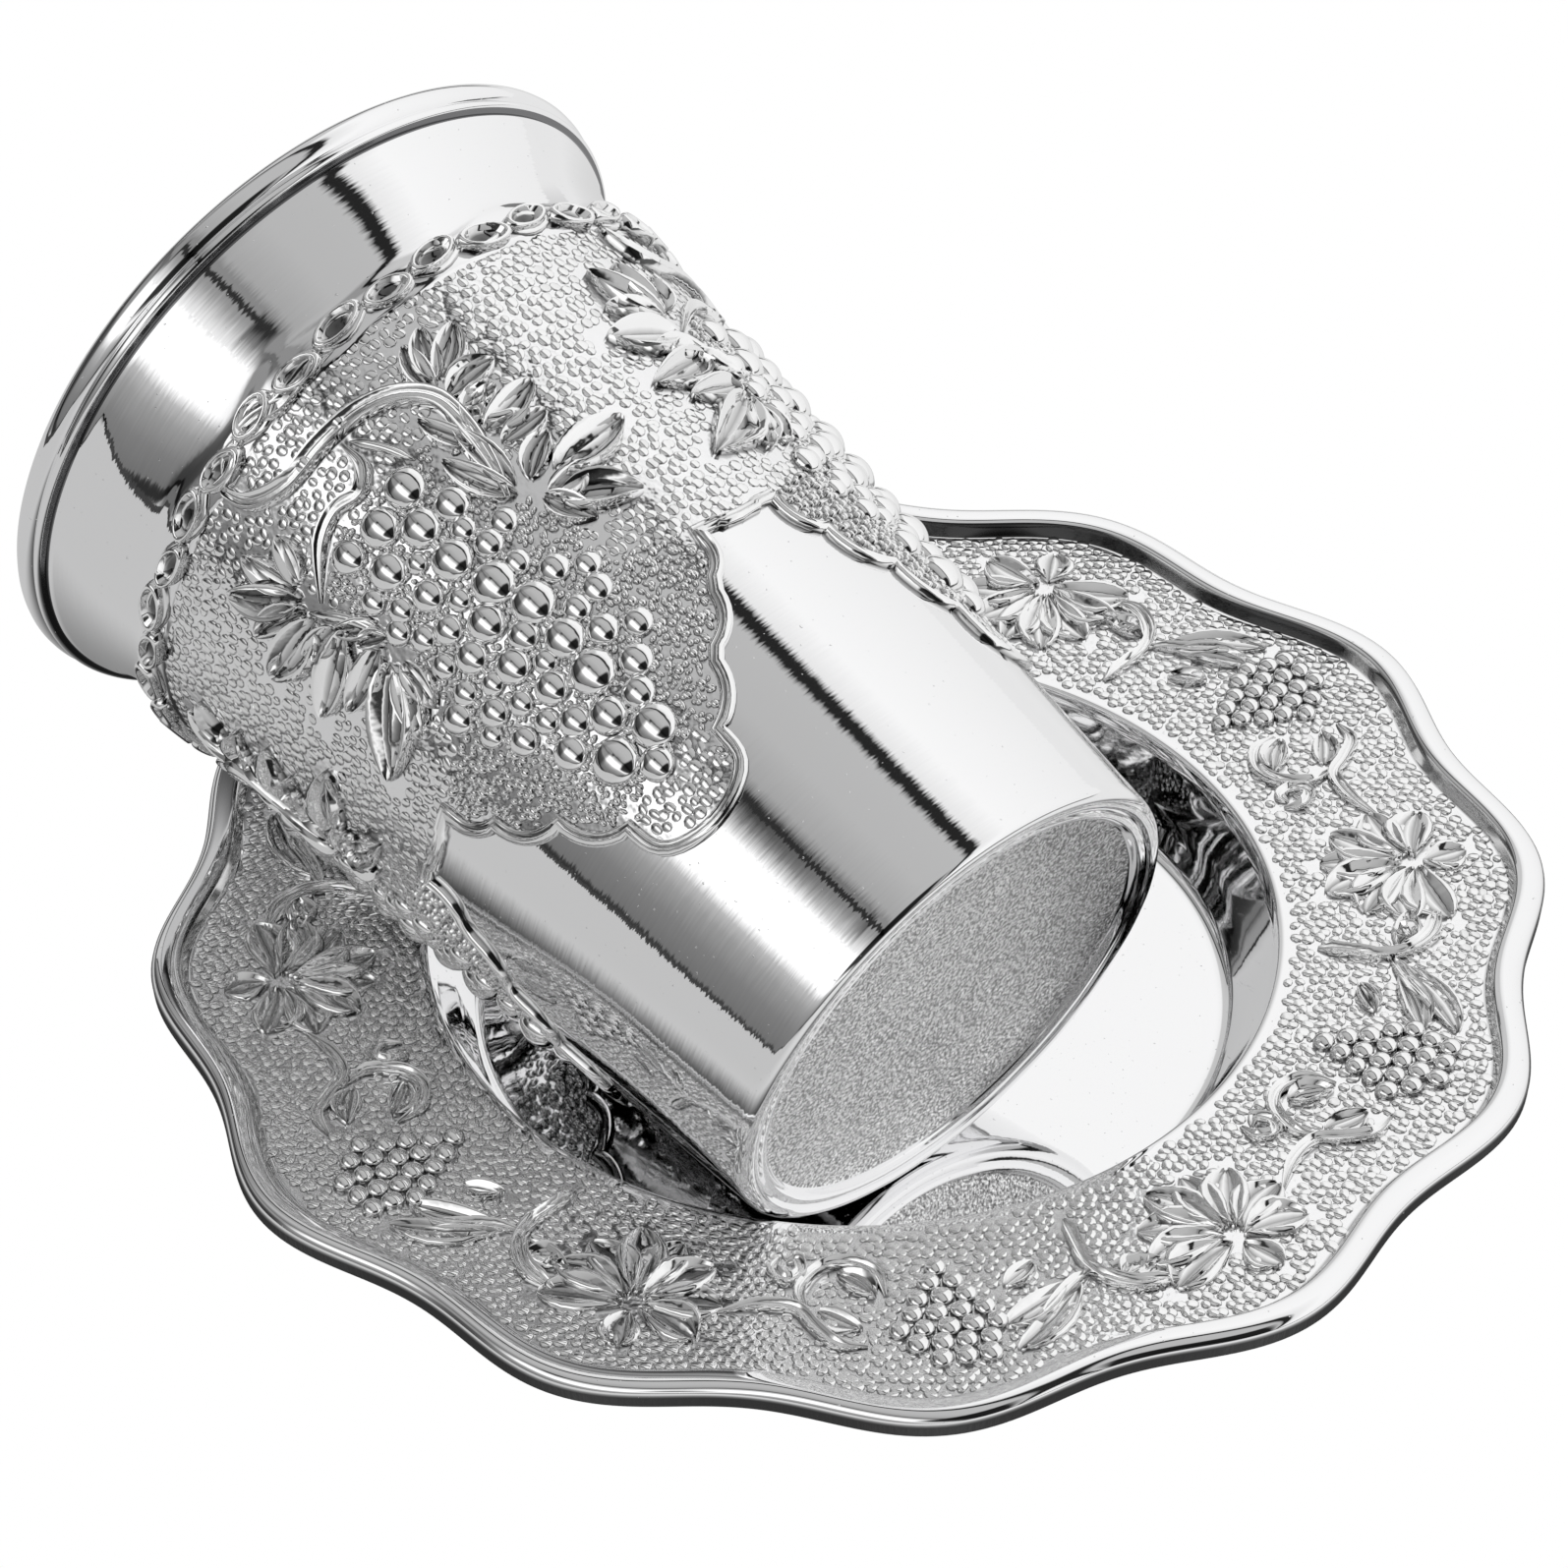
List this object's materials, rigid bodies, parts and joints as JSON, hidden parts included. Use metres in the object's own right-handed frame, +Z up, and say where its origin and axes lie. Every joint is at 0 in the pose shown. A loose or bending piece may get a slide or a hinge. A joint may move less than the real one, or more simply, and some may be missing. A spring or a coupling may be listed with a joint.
{
  "type": "kiddush cup with saucer",
  "caption": "Straight silver-plated wine cup with a rolled lip and raised grape-vine panels, leaning in the round well of its scalloped saucer.",
  "frame": {"origin": "middle of the saucer's flat underside, on the surface that it stands on", "axes": "+Z up out of the saucer's well; the cup's mouth points towards -X and +Y"},
  "size_m": [0.137, 0.126, 0.0774],
  "materials": {
    "saucer": "mirror-polished silver plate with a pebbled, matted band",
    "cup": "mirror-polished silver plate with pebbled relief panels"
  },
  "bodies": {
    "root": {"saucer": "saucer", "cup": "cup"}
  },
  "joints": []
}
